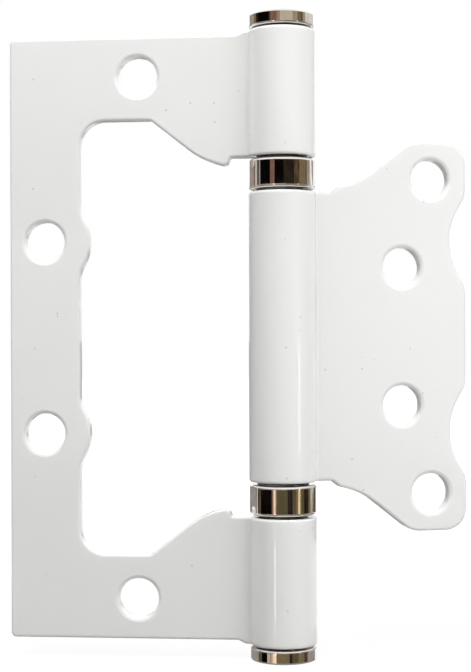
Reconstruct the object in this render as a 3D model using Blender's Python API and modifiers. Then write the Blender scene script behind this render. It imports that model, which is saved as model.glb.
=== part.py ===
# Butterfly hinge: two nesting sheet-steel leaves on one pin, with a ball bearing between the knuckles.
# Metres, +Z up along the pin. The row's origin is on the back of the outer leaf, between its two edge holes.
# The hinge stands open a little past flat, with both countersunk faces towards -Y.
import math

import bmesh
import bpy
from mathutils import Matrix, Vector

# Sheet, pin and barrel
SHEET = 0.0025  # thickness of both leaves
PIN_DIAMETER = 0.0058
PIN_PLAY = 0.0001  # radial clearance between the pin and the rolled bore
STACK_HEIGHT = 0.100  # over all knuckles and bearings
MIDDLE_SHARE = 0.472  # part of that height taken by the inner leaf's knuckle
BEARING_SPACE = 0.0057  # height left between two knuckles
SLOT_DEPTH = 0.0034  # how far the slots that part the knuckles run past the barrel
NECK_BEND = 0.00125  # inside radius of the reverse bend where the curl leaves the leaf
CURL_END = math.radians(16.0)  # angle at which the curl stops short of the leaf's back
PIN_CHAMFER = 0.0004

# Outer leaf outline, from the pin axis outwards and from mid height upwards
WINDOW_REACH = 0.0334  # pin axis to the far side of the window
SIDE_RAIL = 0.0116  # width of the leaf beyond the window
LEAF_STEP = 0.0006  # the leaf's top edge lies this far below the knuckle's end
KNUCKLE_RISE = 0.0024  # length of the ramp from the leaf's edge up to the knuckle's end
OUTER_CORNER = 0.0009
WINDOW_SHARE = 0.7216  # part of the leaf's height taken by the window
WINDOW_CORNER = 0.0042
WINDOW_TOP_RUN = 0.0118  # length of the window's top edge, from corner to wing
WINDOW_LIP = 0.0012  # radius where the wing meets the window's top edge
WING_DROP = 0.00145  # the wing leaves the slot this far short of the end knuckle
WING_KNEE_RUN = 0.0044  # slot end to the knee of the wing, outwards
WING_KNEE_RISE = 0.00095  # and away from mid height
WING_KNEE_CUT = 0.0039  # how much of each straight edge the knee's rounding takes

# Inner leaf outline, set by the gaps that it keeps in the window when the hinge is closed
NEST_GAP_SIDE = 0.0022  # at its free edge
NEST_GAP_END = 0.0034  # above and below it
INNER_CORNER = 0.0036
INNER_SHOULDER = 0.0045

# Reliefs round the outer leaf's edge holes: a bulge in the window, a hollow in the inner leaf
BULGE_RISE = 0.0017  # how far the bulge stands into the window
HOLLOW_GAP = 0.0033  # between bulge and hollow when closed
RELIEF_BLEND = 0.0045

# Screw holes
HOLE_DIAMETER = 0.0062
COUNTERSINK_DIAMETER = 0.0085
COUNTERSINK_ANGLE = math.radians(90.0)
CORNER_HOLE_REACH = 0.0237
CORNER_HOLE_EDGE = 0.0066  # in from the leaf's top edge
EDGE_HOLE_SHARE = 0.443  # height of the edge holes as a part of the window's half height
NEAR_HOLE_EDGE = 0.0111  # in from the inner leaf's free edge
NEAR_HOLE_HEIGHT = 0.0114
FAR_HOLE_EDGE = 0.0062  # in from the inner leaf's free edge and top edge

# End caps
CAP_STEP = 0.0003  # radius by which the caps are smaller than the barrel
CAP_HEIGHT = 0.0022
CAP_EDGE = 0.0007  # rounding of the rim
SPIGOT_LENGTH = 0.0030
SEAT_GAP = 0.0003  # left between pieces that bear on each other

# Ball bearings
SHELL_STEP = 0.00005  # radius by which the shells are smaller than the barrel
SHELL_END_GAP = 0.0004  # between a shell and the knuckle next to it
SHELL_WALL = 0.00045
SHELL_EDGE = 0.0006  # outside radius where the wall turns into the lip
LIP_WIDTH = 0.00115  # from the shell's outside to the opening left by the lip
BEARING_PLAY = 0.0001  # running clearance inside a bearing
RACE_GAP = 0.00015  # between a race and the knuckle that it bears on
BALL_SHARE = 0.79  # ball diameter as a part of the room between bore and shell
BALL_COUNT = 10
GROOVE_DEPTH = 0.0002
CAGE_HEIGHT = 0.0008
CAGE_RIM = 0.00027  # wall between the cage's bore and its pockets

# Pose in the photograph: the inner leaf is swung back past flat by this much
FOLD_BACK = math.radians(17.5)

# Smoothness
BARREL_STEPS = 44
SHELL_STEPS = 44
RACE_STEPS = 28
HOLE_STEPS = 32
BALL_STEPS = 12  # round a ball's equator
ARC_STEP = math.radians(12.0)
SHARP_ANGLE = math.radians(35.0)  # edges sharper than this are not shaded smooth
WELD = 1e-6  # points closer than this are one point

# Sizes that follow from the ones above
bore_radius = PIN_DIAMETER / 2 + PIN_PLAY
knuckle_radius = bore_radius + SHEET
curl_radius = bore_radius + SHEET / 2
slot_reach = knuckle_radius + SLOT_DEPTH
half_stack = STACK_HEIGHT / 2
half_middle = half_stack * MIDDLE_SHARE
end_knuckle_foot = half_middle + BEARING_SPACE
bearing_centre = half_middle + BEARING_SPACE / 2
leaf_top = half_stack - LEAF_STEP
outer_reach = WINDOW_REACH + SIDE_RAIL
window_top = leaf_top * WINDOW_SHARE
inner_reach = WINDOW_REACH - NEST_GAP_SIDE
edge_hole_reach = WINDOW_REACH + SIDE_RAIL / 2
edge_hole_height = window_top * EDGE_HOLE_SHARE
bulge_radius = edge_hole_reach - WINDOW_REACH + BULGE_RISE
shell_radius = knuckle_radius - SHELL_STEP
shell_half = BEARING_SPACE / 2 - SHELL_END_GAP
shell_bore = shell_radius - SHELL_WALL
lip_radius = shell_radius - LIP_WIDTH
race_radius = shell_bore - BEARING_PLAY
ball_radius = (race_radius - bore_radius) * BALL_SHARE / 2
pitch_radius = race_radius - ball_radius


def material(name, colour, roughness, metallic):
    made = bpy.data.materials.new(name)
    made.use_nodes = True
    shader = made.node_tree.nodes["Principled BSDF"]
    shader.inputs["Base Color"].default_value = (*colour, 1.0)
    shader.inputs["Roughness"].default_value = roughness
    shader.inputs["Metallic"].default_value = metallic
    made.diffuse_color = (*colour, 1.0)
    return made


def arc(centre, radius, start, end, step=ARC_STEP):
    """Points on a circle from one angle to another, both ends included."""
    count = max(1, math.ceil(abs(end - start) / step - 1e-6))
    turns = [start + (end - start) * i / count for i in range(count + 1)]
    return [(centre[0] + radius * math.cos(a), centre[1] + radius * math.sin(a)) for a in turns]


def fillet(before, corner, after, radius):
    """The arc that rounds a corner between two straight runs."""
    here = Vector(corner)
    to_before = (Vector(before) - here).normalized()
    to_after = (Vector(after) - here).normalized()
    half = to_before.angle(to_after) / 2
    centre = here + (to_before + to_after).normalized() * (radius / math.sin(half))
    first = here + to_before * (radius / math.tan(half)) - centre
    last = here + to_after * (radius / math.tan(half)) - centre
    start = math.atan2(first.y, first.x)
    turn = (math.atan2(last.y, last.x) - start + math.pi) % (2 * math.pi) - math.pi
    return arc(centre, radius, start, start + turn)


def rounded(corners):
    """A run of corners (u, z, radius) as points; the first and last corner stay sharp."""
    points = [corners[0][:2]]
    for before, corner, after in zip(corners, corners[1:], corners[2:]):
        if corner[2]:
            points += fillet(before[:2], corner[:2], after[:2], corner[2])
        else:
            points.append(corner[:2])
    return points + [corners[-1][:2]]


def relief(edge, radius):
    """A round bulge or hollow in a straight edge, about an edge hole, blended into the edge; z rises."""
    foot = edge - RELIEF_BLEND
    spread = math.acos((edge_hole_reach - foot) / (radius + RELIEF_BLEND))
    rise = (radius + RELIEF_BLEND) * math.sin(spread)
    lower = arc((foot, edge_hole_height - rise), RELIEF_BLEND, 0.0, spread)
    middle = arc((edge_hole_reach, edge_hole_height), radius, math.pi + spread, math.pi - spread)
    upper = arc((foot, edge_hole_height + rise), RELIEF_BLEND, -spread, 0.0)
    return lower + middle[1:-1] + upper


def mirrored(points):
    """The same points below mid height, in reverse order."""
    return [(u, -z) for u, z in reversed(points)]


def wing(gap):
    """The wing's corners (u, z, radius) up to the window's top edge, moved towards mid height by the gap."""
    foot = Vector((slot_reach, end_knuckle_foot - WING_DROP - gap))
    knee = foot + Vector((WING_KNEE_RUN, WING_KNEE_RISE))
    top = Vector((WINDOW_REACH - WINDOW_TOP_RUN, window_top - gap))
    bend = (knee - foot).angle(top - knee)
    radius = WING_KNEE_CUT / math.tan(bend / 2)
    return (*foot, 0.0), (*knee, radius), top


def outer_outline():
    """Upper half of the outer leaf: barrel, top edge, free edge, window, wing and slot; then mirrored."""
    beyond = -knuckle_radius - SHEET
    outside = rounded([
        (beyond, half_stack, 0.0),
        (slot_reach - KNUCKLE_RISE, half_stack, 0.0),
        (slot_reach, leaf_top, 0.0),
        (outer_reach, leaf_top, OUTER_CORNER),
        (outer_reach, 0.0, 0.0),
    ])[:-1]
    foot, knee, top = wing(0.0)
    bulge = relief(WINDOW_REACH, bulge_radius)
    window = rounded([
        (*bulge[-1], 0.0),
        (WINDOW_REACH, top.y, WINDOW_CORNER),
        (*top, WINDOW_LIP),
        knee,
        foot,
        (slot_reach, end_knuckle_foot, 0.0),
        (beyond, end_knuckle_foot, 0.0),
    ])
    inside = bulge[:-1] + window
    return outside + mirrored(outside) + mirrored(inside) + inside


def inner_outline():
    """Upper half of the inner leaf: barrel, slot, wing, shoulder, lobe and hollow; then mirrored."""
    beyond = -knuckle_radius - SHEET
    foot, knee, top = wing(NEST_GAP_END)
    hollow = relief(inner_reach, bulge_radius + HOLLOW_GAP)
    upper = rounded([
        (beyond, half_middle, 0.0),
        (slot_reach, half_middle, 0.0),
        foot,
        knee,
        (*top, INNER_SHOULDER),
        (inner_reach, top.y, INNER_CORNER),
        (*hollow[-1], 0.0),
    ])
    upper += list(reversed(hollow))[1:]
    return upper + mirrored(upper)


def leaf_section():
    """Cross-section of a leaf with its reverse bend and curl; u runs outwards and v towards the front."""
    half = SHEET / 2
    bend = NECK_BEND + half
    root = math.sqrt(curl_radius**2 + 2 * curl_radius * bend)
    lean = math.atan2(bend, root)
    far = outer_reach + SHEET
    step = 2 * math.pi / BARREL_STEPS
    end = 2 * math.pi - CURL_END
    front = [(far, half)] + arc((root, bend), NECK_BEND, -math.pi / 2, -math.pi + lean)
    outside = arc((0.0, 0.0), knuckle_radius, lean, end, step)[1:]
    inside = arc((0.0, 0.0), bore_radius, end, lean, step)
    back = arc((root, bend), NECK_BEND + SHEET, -math.pi + lean, -math.pi / 2)[1:] + [(far, -half)]
    return front + outside + inside + back


def evaluated_mesh(guide, name):
    """The mesh that a guide curve or modifier makes, welded and facing outwards; the guide is removed."""
    bpy.context.scene.collection.objects.link(guide)
    graph = bpy.context.evaluated_depsgraph_get()
    mesh = bpy.data.meshes.new_from_object(guide.evaluated_get(graph))
    bpy.data.objects.remove(guide)
    mesh.name = name
    tidy(mesh)
    return mesh


def plate(name, points, thickness):
    """A flat closed outline given a thickness, as a mesh centred on its plane."""
    curve = bpy.data.curves.new(name, "CURVE")
    curve.dimensions = "2D"
    curve.fill_mode = "BOTH"
    curve.extrude = thickness / 2
    for loop in points:
        spline = curve.splines.new("POLY")
        spline.points.add(len(loop) - 1)
        for point, (x, y) in zip(spline.points, loop):
            point.co = (x, y, 0.0, 1.0)
        spline.use_cyclic_u = True
    return evaluated_mesh(bpy.data.objects.new(name + "_guide", curve), name)


def tidy(mesh, turn=None):
    """Turns a mesh, welds its loose caps and points its faces outwards."""
    work = bmesh.new()
    work.from_mesh(mesh)
    if turn:
        bmesh.ops.transform(work, matrix=turn, verts=work.verts)
    bmesh.ops.remove_doubles(work, verts=work.verts, dist=WELD)
    bmesh.ops.recalc_face_normals(work, faces=work.faces)
    work.to_mesh(mesh)
    work.free()


def turned(name, profile, steps, closed):
    """A round body from a profile (radius, z); a closed profile leaves a hole along the axis."""
    outline = bpy.data.meshes.new(name + "_profile")
    edges = [(i, i + 1) for i in range(len(profile) - 1)]
    if closed:
        edges.append((len(profile) - 1, 0))
    outline.from_pydata([(r, 0.0, z) for r, z in profile], edges, [])
    guide = bpy.data.objects.new(name + "_guide", outline)
    screw = guide.modifiers.new("turn", "SCREW")
    screw.steps = steps
    screw.render_steps = steps
    screw.use_merge_vertices = True
    screw.merge_threshold = WELD
    return evaluated_mesh(guide, name)


def piece(name, mesh, look, parent, place=(0.0, 0.0, 0.0), smooth=True):
    """Puts a mesh in the scene as one named part under its joint's empty."""
    mesh.name = name
    mesh.materials.clear()
    mesh.materials.append(look)
    if smooth:
        mesh.shade_smooth()
        mesh.set_sharp_from_angle(angle=SHARP_ANGLE)
    made = bpy.data.objects.new(name, mesh)
    made.location = place
    made.parent = parent
    parts.objects.link(made)
    return made


def cutter(name, mesh):
    made = bpy.data.objects.new(name, mesh)
    made.hide_render = True
    made.display_type = "WIRE"
    cutters.objects.link(made)
    return made


def cut(target, tool, operation):
    boolean = target.modifiers.new(tool.name, "BOOLEAN")
    boolean.operation = operation
    boolean.object = tool


def pivot(name, parent, place):
    made = bpy.data.objects.new(name, None)
    made.empty_display_size = SHEET
    made.location = place
    made.parent = parent
    parts.objects.link(made)
    return made


def screw_hole(name, side, reach, height):
    """A through hole with its countersink on the front, as a cutter in the leaf's own frame."""
    half = SHEET / 2
    hole = HOLE_DIAMETER / 2
    cone = COUNTERSINK_DIAMETER / 2
    slope = math.tan(COUNTERSINK_ANGLE / 2)
    depth = (cone - hole) / slope
    profile = [
        (0.0, half + SHEET),
        (cone + SHEET * slope, half + SHEET),
        (hole, half - depth),
        (hole, -half - SHEET),
        (0.0, -half - SHEET),
    ]
    mesh = turned(name, profile, HOLE_STEPS, closed=False)
    # The profile's +z becomes the leaf's front, -y.
    tidy(mesh, Matrix.Translation((side * reach, 0.0, height)) @ Matrix.Rotation(math.pi / 2, 4, "X"))
    return cutter(name, mesh)


def leaf(name, side, outline, holes, look, parent):
    """A leaf: its cross-section run up the barrel, trimmed to its outline and drilled."""
    section = [(side * u, -v) for u, v in leaf_section()]
    body = plate(name, [section], STACK_HEIGHT + 2 * SHEET)
    made = piece(name, body, look, parent)
    blank = plate(name + "_blank", [[(side * u, z) for u, z in outline]], 2 * knuckle_radius + 2 * SHEET)
    tidy(blank, Matrix.Rotation(math.pi / 2, 4, "X"))
    blank_tool = cutter(name + "_blank", blank)
    blank_tool.parent = parent
    cut(made, blank_tool, "INTERSECT")
    for label, reach, height in holes:
        for row, sign in (("upper", 1), ("lower", -1)):
            hole = screw_hole(f"{name}_{row}_{label}_hole", side, reach, sign * height)
            hole.parent = parent
            cut(made, hole, "DIFFERENCE")
    return made


def end_cap(name, sign, look, parent):
    """A turned cap whose spigot goes into the bore; sign is 1 at the top and -1 at the bottom."""
    rim = knuckle_radius - CAP_STEP
    foot = half_stack + SEAT_GAP
    top = foot + CAP_HEIGHT
    tip = foot - SPIGOT_LENGTH
    plug = PIN_DIAMETER / 2
    edge = arc((rim - CAP_EDGE, top - CAP_EDGE), CAP_EDGE, math.pi / 2, 0.0, 2 * ARC_STEP)
    profile = [(0.0, top)] + edge + [(rim, foot), (plug, foot), (plug, tip), (0.0, tip)]
    mesh = turned(name, [(r, sign * z) for r, z in profile], BARREL_STEPS, closed=False)
    return piece(name, mesh, look, parent)


def pin(name, look, parent):
    radius = PIN_DIAMETER / 2
    half = half_stack - SPIGOT_LENGTH
    profile = [(0.0, half), (radius - PIN_CHAMFER, half), (radius, half - PIN_CHAMFER)]
    profile += mirrored(profile)
    return piece(name, turned(name, profile, BARREL_STEPS, closed=False), look, parent)


def bearing_shell(name, look, parent, height):
    """A drawn sleeve with both ends rolled in to a lip."""
    corner = (shell_radius - SHELL_EDGE, shell_half - SHELL_EDGE)
    outside = [(lip_radius, shell_half)] + arc(corner, SHELL_EDGE, math.pi / 2, 0.0, 2 * ARC_STEP)
    inside = [(shell_bore, shell_half - SHELL_WALL), (lip_radius, shell_half - SHELL_WALL)]
    profile = outside + mirrored(outside) + mirrored(inside) + inside
    return piece(name, turned(name, profile, SHELL_STEPS, closed=True), look, parent, (0.0, 0.0, height))


def race(name, sign, look, parent, height):
    """A stepped ring: its hub passes the lip, and its flange carries the groove for the balls."""
    hub = lip_radius - BEARING_PLAY
    face = BEARING_SPACE / 2 - RACE_GAP
    shoulder = shell_half - SHELL_WALL - BEARING_PLAY
    groove = ball_radius + BEARING_PLAY / 2
    floor = groove - GROOVE_DEPTH
    spread = math.asin(floor / groove)
    track = arc((pitch_radius, 0.0), groove, spread, math.pi - spread, 3 * ARC_STEP)
    steps = [(bore_radius, face), (hub, face), (hub, shoulder), (race_radius, shoulder)]
    profile = steps + [(race_radius, floor)] + track + [(bore_radius, floor)]
    mesh = turned(name, [(r, sign * z) for r, z in profile], RACE_STEPS, closed=True)
    return piece(name, mesh, look, parent, (0.0, 0.0, height))


def ball_cage(name, look, parent, height):
    """A flat ring with pockets open outwards, one for each ball."""
    pocket = pitch_radius - bore_radius - CAGE_RIM
    rim = race_radius - BEARING_PLAY / 2
    mouth = math.asin(pocket / rim)
    pitch = 2 * math.pi / BALL_COUNT
    outline = []
    for i in range(BALL_COUNT):
        middle = i * pitch
        turn = Matrix.Rotation(middle, 2)
        floor = arc((pitch_radius, 0.0), pocket, -math.pi / 2, -3 * math.pi / 2, 2 * ARC_STEP)
        outline += [tuple(turn @ Vector(point)) for point in floor]
        outline += arc((0.0, 0.0), rim, middle + mouth, middle + pitch - mouth)
    hole = arc((0.0, 0.0), bore_radius, 0.0, 2 * math.pi)[:-1]
    mesh = plate(name, [outline, hole], CAGE_HEIGHT)
    return piece(name, mesh, look, parent, (0.0, 0.0, height), smooth=False)


def ball(name, look, parent, place):
    mesh = bpy.data.meshes.new(name)
    work = bmesh.new()
    bmesh.ops.create_uvsphere(work, u_segments=BALL_STEPS, v_segments=BALL_STEPS // 2, radius=ball_radius)
    work.to_mesh(mesh)
    work.free()
    return piece(name, mesh, look, parent, place)


def ball_bearing(level, sign):
    """One bearing: shell and outer race stay with the outer leaf, inner race turns with the inner leaf."""
    height = sign * bearing_centre
    bearing_shell(f"{level}_bearing_shell", nickel, pin_axis, height)
    race(f"{level}_bearing_outer_race", sign, bearing_steel, pin_axis, height)
    race(f"{level}_bearing_inner_race", -sign, bearing_steel, leaf_swing, height)
    ring = pivot(f"{level}_ball_ring", pin_axis, (0.0, 0.0, 0.0))
    ball_cage(f"{level}_ball_cage", nylon, ring, height)
    for i in range(BALL_COUNT):
        angle = 2 * math.pi * i / BALL_COUNT
        place = (pitch_radius * math.cos(angle), pitch_radius * math.sin(angle), height)
        ball(f"{level}_ball_{i + 1:02d}", bearing_steel, ring, place)


# Empty scene
for old in list(bpy.data.objects):
    bpy.data.objects.remove(old)
parts = bpy.data.collections.new("butterfly_hinge")
cutters = bpy.data.collections.new("cutters")
bpy.context.scene.collection.children.link(parts)
bpy.context.scene.collection.children.link(cutters)

# Finishes
white_paint = material("white_paint", (0.83, 0.83, 0.82), 0.32, 0.0)
nickel = material("bright_nickel", (0.62, 0.58, 0.53), 0.12, 1.0)
pin_steel = material("pin_steel", (0.55, 0.55, 0.56), 0.35, 1.0)
bearing_steel = material("bearing_steel", (0.66, 0.66, 0.68), 0.15, 1.0)
nylon = material("nylon", (0.86, 0.84, 0.78), 0.55, 0.0)

# Frame: the pin's axis, with the outer leaf running to -X and the inner leaf's joint on the axis
pin_axis = pivot("pin_axis", None, (edge_hole_reach, -SHEET / 2, 0.0))
leaf_swing = pivot("leaf_swing", pin_axis, (0.0, 0.0, 0.0))
leaf_swing.rotation_euler.z = FOLD_BACK

outer_holes = [
    ("corner", CORNER_HOLE_REACH, leaf_top - CORNER_HOLE_EDGE),
    ("edge", edge_hole_reach, edge_hole_height),
]
inner_holes = [
    ("near", inner_reach - NEAR_HOLE_EDGE, NEAR_HOLE_HEIGHT),
    ("far", inner_reach - FAR_HOLE_EDGE, window_top - NEST_GAP_END - FAR_HOLE_EDGE),
]
leaf("outer_leaf", -1, outer_outline(), outer_holes, white_paint, pin_axis)
leaf("inner_leaf", 1, inner_outline(), inner_holes, white_paint, leaf_swing)
pin("hinge_pin", pin_steel, pin_axis)
end_cap("top_cap", 1, nickel, pin_axis)
end_cap("bottom_cap", -1, nickel, pin_axis)
ball_bearing("upper", 1)
ball_bearing("lower", -1)
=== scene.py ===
import math

import bmesh
import bpy
from mathutils import Matrix, Vector
from mathutils.geometry import area_tri


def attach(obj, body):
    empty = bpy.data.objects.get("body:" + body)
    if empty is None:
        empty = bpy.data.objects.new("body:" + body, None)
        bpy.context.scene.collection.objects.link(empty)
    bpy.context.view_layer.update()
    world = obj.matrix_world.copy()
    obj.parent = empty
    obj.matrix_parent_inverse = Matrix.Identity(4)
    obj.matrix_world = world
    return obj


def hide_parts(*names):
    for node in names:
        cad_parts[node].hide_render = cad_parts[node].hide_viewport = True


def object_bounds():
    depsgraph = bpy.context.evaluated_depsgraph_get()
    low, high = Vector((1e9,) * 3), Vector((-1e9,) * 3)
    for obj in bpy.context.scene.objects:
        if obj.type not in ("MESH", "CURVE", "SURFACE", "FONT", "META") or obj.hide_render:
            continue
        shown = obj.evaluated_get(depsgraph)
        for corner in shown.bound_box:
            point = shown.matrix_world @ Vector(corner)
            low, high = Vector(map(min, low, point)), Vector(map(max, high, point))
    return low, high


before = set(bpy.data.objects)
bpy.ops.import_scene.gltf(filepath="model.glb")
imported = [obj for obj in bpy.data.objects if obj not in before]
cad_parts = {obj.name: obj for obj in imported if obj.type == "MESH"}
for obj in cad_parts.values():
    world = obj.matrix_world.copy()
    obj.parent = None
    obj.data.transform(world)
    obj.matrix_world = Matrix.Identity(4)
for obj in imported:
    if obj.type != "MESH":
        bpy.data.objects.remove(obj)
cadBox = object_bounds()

# Everything is in metres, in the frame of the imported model: z runs up the pin, the leaves' fronts face -y.

# sizes that both leaves and the barrel share
barrel = {
    "pinAxis": (0.0392, -0.00125),
    "foldBack": math.radians(17.5),  # how far the inner leaf is swung past flat
    "pin": 0.0029,
    "bore": 0.0030,
    "sheet": 0.0025,
    "stack": 0.100,  # over all knuckles and bearings
    "middleShare": 0.472,  # of the stack, for the inner leaf's knuckle
    "bearingSpace": 0.0057,
    "slotDepth": 0.0030,  # slots run this far past the barrel
    "neckBend": 0.0005,
    "seam": math.radians(16.0),  # the curl stops this far short of the leaf's back
    "curlStep": math.radians(4.0),
    "flatEnd": math.radians(13.0),  # one straight piece, longer than the rounding of the sheet's end
    "outlineStep": math.radians(5.0),
}
knuckle = barrel["bore"] + barrel["sheet"]
curl = barrel["bore"] + barrel["sheet"] / 2
slotEnd = knuckle + barrel["slotDepth"]
halfStack = barrel["stack"] / 2
halfMiddle = halfStack * barrel["middleShare"]
endFoot = halfMiddle + barrel["bearingSpace"]
bearingHeight = halfMiddle + barrel["bearingSpace"] / 2
pinPlace = Vector((*barrel["pinAxis"], 0.0))
atRest = Matrix.Translation(pinPlace)
swungBack = atRest @ Matrix.Rotation(barrel["foldBack"], 4, "Z")


# node helpers, for shader and geometry trees alike

def makeTree(name, kind, inputs, outputs):
    tree = bpy.data.node_groups.new(name, kind)
    for way, sockets in (("INPUT", inputs), ("OUTPUT", outputs)):
        for label, socketType in sockets.items():
            tree.interface.new_socket(label, in_out=way, socket_type="NodeSocket" + socketType)
    return tree, tree.nodes.new("NodeGroupInput").outputs, tree.nodes.new("NodeGroupOutput").inputs


def addNode(tree, kind, values=None, **settings):
    node = tree.nodes.new(kind)
    for key, value in settings.items():
        setattr(node, key, value)
    for key, value in (values or {}).items():
        for one in value if isinstance(value, list) else [value]:
            if isinstance(one, bpy.types.NodeSocket):
                tree.links.new(one, node.inputs[key])
            else:
                node.inputs[key].default_value = one
    return node


def maths(tree, operation, first, second):
    return addNode(tree, "ShaderNodeMath", {0: first, 1: second}, operation=operation).outputs[0]


def spread(tree, value, source=(0.0, 1.0), target=(0.0, 1.0)):
    # stretches a value from one range to another and stops at its ends
    return addNode(tree, "ShaderNodeMapRange", {
        "Value": value, "From Min": source[0], "From Max": source[1],
        "To Min": target[0], "To Max": target[1]}).outputs["Result"]


def addObject(name, data):
    made = bpy.data.objects.new(name, data)
    bpy.context.scene.collection.objects.link(made)
    return made


def runTree(guide, tree, values, name):
    # the guide's geometry goes through the tree and comes out as a plain mesh
    modifier = guide.modifiers.new(tree.name, "NODES")
    modifier.node_group = tree
    for item in tree.interface.items_tree:
        if item.in_out == "INPUT" and item.name in values:
            modifier[item.identifier] = values[item.name]
    graph = bpy.context.evaluated_depsgraph_get()
    mesh = bpy.data.meshes.new_from_object(guide.evaluated_get(graph))
    bpy.data.objects.remove(guide)
    mesh.name = name
    return mesh


def guideObject(name, points, edges):
    mesh = bpy.data.meshes.new(name)
    mesh.from_pydata(points, edges, [])
    return addObject(name, mesh)


def chainObject(name, points, closed):
    edges = [(i, i + 1) for i in range(len(points) - 1)]
    if closed:
        edges.append((len(points) - 1, 0))
    return guideObject(name, [(x, y, 0.0) for x, y in points], edges)


# how every mesh is welded, shaded and looked over
meshLook = {
    "weld": 1e-6,
    "sharpAbove": math.radians(34.0),
    "largeFaces": 90,  # of 100: large faces set the shading, so flats stay true beside their rounded edges
    "folded": 1.001,  # triangles with this many times their faces' area mean a fold
}


def addPiece(name, mesh, body, replaced, place=None):
    # cleans a mesh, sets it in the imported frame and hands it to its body
    work = bmesh.new()
    work.from_mesh(mesh)
    if place:
        bmesh.ops.transform(work, matrix=place, verts=work.verts)
    bmesh.ops.remove_doubles(work, verts=work.verts, dist=meshLook["weld"])
    bmesh.ops.recalc_face_normals(work, faces=work.faces)
    openEdges = sum(not edge.is_manifold for edge in work.edges)
    faceArea = sum(face.calc_area() for face in work.faces)
    triangles = work.calc_loop_triangles()
    triangleArea = sum(area_tri(*(corner.vert.co for corner in triangle)) for triangle in triangles)
    work.to_mesh(mesh)
    work.free()
    if openEdges:
        print(name, "has", openEdges, "open edges")
    if triangleArea > faceArea * meshLook["folded"]:
        print(name, "has a face that folds over itself")
    mesh.shade_smooth()
    mesh.set_sharp_from_angle(angle=meshLook["sharpAbove"])
    piece = addObject(name, mesh)
    shading = piece.modifiers.new("trueFaces", "WEIGHTED_NORMAL")
    shading.keep_sharp = True
    shading.weight = meshLook["largeFaces"]
    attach(piece, body)
    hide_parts(*replaced)
    return piece


# effects that several finishes share
effectLook = {
    "cloudDetail": 3.0,
    "cloudRoughness": 0.55,
    "cloudRange": (0.3, 0.7),  # the noise between these becomes the whole mask
    "lineDetail": 4.0,
    "lineRoughness": 0.65,
    "lineWander": 0.02,  # change round the pin, as a share of the change along it
}


def noise(tree, place, scale, detail, roughness):
    return addNode(tree, "ShaderNodeTexNoise", {
        "Vector": place, "Scale": scale, "Detail": detail, "Roughness": roughness}).outputs["Fac"]


def mottleGroup():
    # soft clouds between 0 and 1, at a given size in metres
    tree, given, result = makeTree(
        "mottle", "ShaderNodeTree", {"Vector": "Vector", "Size": "Float"}, {"Mask": "Float"})
    scale = maths(tree, "DIVIDE", 1.0, given["Size"])
    clouds = noise(tree, given["Vector"], scale, effectLook["cloudDetail"], effectLook["cloudRoughness"])
    tree.links.new(spread(tree, clouds, effectLook["cloudRange"]), result["Mask"])
    return tree


def nibGroup():
    # small round grains scattered one to a cell, only some of the cells filled
    tree, given, result = makeTree(
        "nibs", "ShaderNodeTree",
        {"Vector": "Vector", "Spacing": "Float", "Radius": "Float", "Share": "Float"}, {"Mask": "Float"})
    scale = maths(tree, "DIVIDE", 1.0, given["Spacing"])
    cells = addNode(tree, "ShaderNodeTexVoronoi", {"Vector": given["Vector"], "Scale": scale})
    edge = maths(tree, "DIVIDE", given["Radius"], given["Spacing"])
    near = spread(tree, cells.outputs["Distance"], (0.0, edge), (1.0, 0.0))
    tone = addNode(tree, "ShaderNodeSeparateColor", {"Color": cells.outputs["Color"]})
    chosen = maths(tree, "LESS_THAN", tone.outputs["Red"], given["Share"])
    tree.links.new(maths(tree, "MULTIPLY", near, chosen), result["Mask"])
    return tree


def turnedLineGroup():
    # fine rings round the pin, as a tool leaves them, with a little wander
    tree, given, result = makeTree(
        "turnedLines", "ShaderNodeTree", {"Vector": "Vector", "Spacing": "Float"}, {"Height": "Float"})
    flat = addNode(tree, "ShaderNodeSeparateXYZ", {"Vector": given["Vector"]})
    wide = maths(tree, "MULTIPLY", flat.outputs["X"], effectLook["lineWander"])
    deep = maths(tree, "MULTIPLY", flat.outputs["Y"], effectLook["lineWander"])
    squeezed = addNode(tree, "ShaderNodeCombineXYZ", {"X": wide, "Y": deep, "Z": flat.outputs["Z"]})
    scale = maths(tree, "DIVIDE", 1.0, given["Spacing"])
    lines = noise(
        tree, squeezed.outputs["Vector"], scale, effectLook["lineDetail"], effectLook["lineRoughness"])
    tree.links.new(lines, result["Height"])
    return tree


mottle = mottleGroup()
nibs = nibGroup()
turnedLines = turnedLineGroup()


def groupNode(tree, group, values):
    return addNode(tree, "ShaderNodeGroup", values, node_tree=group).outputs[0]


def newMaterial(name, plainColour):
    # the plain colour is for a viewport without textures
    made = bpy.data.materials.new(name)
    made.use_nodes = True
    made.diffuse_color = (*plainColour, 1.0)
    tree = made.node_tree
    place = addNode(tree, "ShaderNodeTexCoord").outputs["Object"]
    return made, tree, tree.nodes["Principled BSDF"], place


def blendColours(tree, mask, first, second):
    return addNode(tree, "ShaderNodeMix", {0: mask, 6: first, 7: second}, data_type="RGBA").outputs[2]


def pinDistance(tree, place):
    away = addNode(tree, "ShaderNodeVectorMath", {0: place, 1: pinPlace}, operation="DISTANCE")
    return away.outputs["Value"]


def bumps(tree, height, depth, under=None):
    # laid over the bumps under it, where there are any
    values = {"Height": height, "Distance": depth}
    if under is not None:
        values["Normal"] = under
    return addNode(tree, "ShaderNodeBump", values).outputs["Normal"]


def dress(tree, shader, colour, roughness, normal):
    tree.links.new(colour, shader.inputs["Base Color"])
    tree.links.new(roughness, shader.inputs["Roughness"])
    tree.links.new(normal, shader.inputs["Normal"])


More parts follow.
